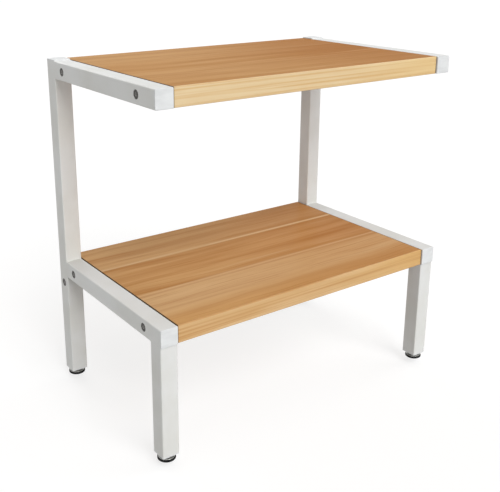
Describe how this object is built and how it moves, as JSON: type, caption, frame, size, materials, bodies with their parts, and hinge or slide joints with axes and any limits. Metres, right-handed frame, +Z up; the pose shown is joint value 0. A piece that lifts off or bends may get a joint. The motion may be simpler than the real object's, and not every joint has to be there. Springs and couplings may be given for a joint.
{
  "type": "microwave stand",
  "caption": "Open microwave stand: an upper and a lower wood-look board held between welded square-tube side frames, on round levelling feet that screw in and out.",
  "frame": {"origin": "on the floor, under the middle of the stand's box, with the feet screwed fully in", "axes": "+X to the right along the shelves, +Y to the back, +Z up"},
  "size_m": [0.6, 0.36, 0.594],
  "materials": {
    "powder_coat": "pale grey-white powder coat, satin",
    "cap_plastic": "moulded, fine matt texture",
    "upper_laminate": "wood-look laminate, satin, grain along the length",
    "lower_laminate": "wood-look laminate, satin, grain along the length",
    "upper_edging": "wood-look edge band, grain along the length",
    "lower_edging": "wood-look edge band, grain along the length",
    "end_edging": "dark brown melamine end band, fine grain",
    "bolt_steel": "blackened",
    "zinc_insert": "zinc plated",
    "cup_steel": "zinc plated, pressed",
    "stud_steel": "zinc plated, threaded",
    "sole_rubber": "matt"
  },
  "bodies": {
    "stand": {"left_rear_post": "powder_coat", "left_top_arm": "powder_coat", "left_lower_rail": "powder_coat", "left_front_leg": "powder_coat", "left_post_cap": "cap_plastic", "left_arm_cap": "cap_plastic", "left_rail_cap": "cap_plastic", "right_rear_post": "powder_coat", "right_top_arm": "powder_coat", "right_lower_rail": "powder_coat", "right_front_leg": "powder_coat", "right_post_cap": "cap_plastic", "right_arm_cap": "cap_plastic", "right_rail_cap": "cap_plastic", "upper_board": "upper_laminate", "upper_front_band": "upper_edging", "upper_back_band": "upper_edging", "upper_left_band": "end_edging", "upper_right_band": "end_edging", "upper_board_inserts": "zinc_insert", "upper_board_bolts": "bolt_steel", "upper_bolt_sleeves": "powder_coat", "lower_board": "lower_laminate", "lower_front_band": "lower_edging", "lower_back_band": "lower_edging", "lower_left_band": "end_edging", "lower_right_band": "end_edging", "lower_board_inserts": "zinc_insert", "lower_board_bolts": "bolt_steel", "lower_bolt_sleeves": "powder_coat", "rear_stretcher": "powder_coat", "stretcher_plugs": "zinc_insert", "stretcher_bolts": "bolt_steel", "stretcher_bolt_sleeves": "powder_coat", "leg_plug_nuts": "zinc_insert", "front_left_leg_plug": "cap_plastic", "front_right_leg_plug": "cap_plastic", "rear_left_leg_plug": "cap_plastic", "rear_right_leg_plug": "cap_plastic"},
    "front_left_foot": {"front_left_foot_sole": "sole_rubber", "front_left_foot_cup": "cup_steel"},
    "front_left_stud": {"front_left_foot_stud": "stud_steel"},
    "front_right_foot": {"front_right_foot_sole": "sole_rubber", "front_right_foot_cup": "cup_steel"},
    "front_right_stud": {"front_right_foot_stud": "stud_steel"},
    "rear_left_foot": {"rear_left_foot_sole": "sole_rubber", "rear_left_foot_cup": "cup_steel"},
    "rear_left_stud": {"rear_left_foot_stud": "stud_steel"},
    "rear_right_foot": {"rear_right_foot_sole": "sole_rubber", "rear_right_foot_cup": "cup_steel"},
    "rear_right_stud": {"rear_right_foot_stud": "stud_steel"}
  },
  "joints": [
    {"name": "front_left_foot_rise", "type": "slide", "parent": "stand", "child": "front_left_foot", "axis": [0, 0, 1], "range_m": [-0.012, 0]},
    {"name": "front_left_foot_turn", "type": "hinge", "parent": "front_left_foot", "child": "front_left_stud", "pos_m": [-0.285, -0.163, 0], "axis": [0, 0, 1], "range_deg": [-3457, 0]},
    {"name": "front_right_foot_rise", "type": "slide", "parent": "stand", "child": "front_right_foot", "axis": [0, 0, 1], "range_m": [-0.012, 0]},
    {"name": "front_right_foot_turn", "type": "hinge", "parent": "front_right_foot", "child": "front_right_stud", "pos_m": [0.285, -0.163, 0], "axis": [0, 0, 1], "range_deg": [-3457, 0]},
    {"name": "rear_left_foot_rise", "type": "slide", "parent": "stand", "child": "rear_left_foot", "axis": [0, 0, 1], "range_m": [-0.012, 0]},
    {"name": "rear_left_foot_turn", "type": "hinge", "parent": "rear_left_foot", "child": "rear_left_stud", "pos_m": [-0.285, 0.165, 0], "axis": [0, 0, 1], "range_deg": [-3457, 0]},
    {"name": "rear_right_foot_rise", "type": "slide", "parent": "stand", "child": "rear_right_foot", "axis": [0, 0, 1], "range_m": [-0.012, 0]},
    {"name": "rear_right_foot_turn", "type": "hinge", "parent": "rear_right_foot", "child": "rear_right_stud", "pos_m": [0.285, 0.165, 0], "axis": [0, 0, 1], "range_deg": [-3457, 0]}
  ],
  "couplings": [
    {"joint": "front_left_foot_turn", "follows": "front_left_foot_rise", "rad_per_m": 5026.5},
    {"joint": "front_right_foot_turn", "follows": "front_right_foot_rise", "rad_per_m": 5026.5},
    {"joint": "rear_left_foot_turn", "follows": "rear_left_foot_rise", "rad_per_m": 5026.5},
    {"joint": "rear_right_foot_turn", "follows": "rear_right_foot_rise", "rad_per_m": 5026.5}
  ]
}
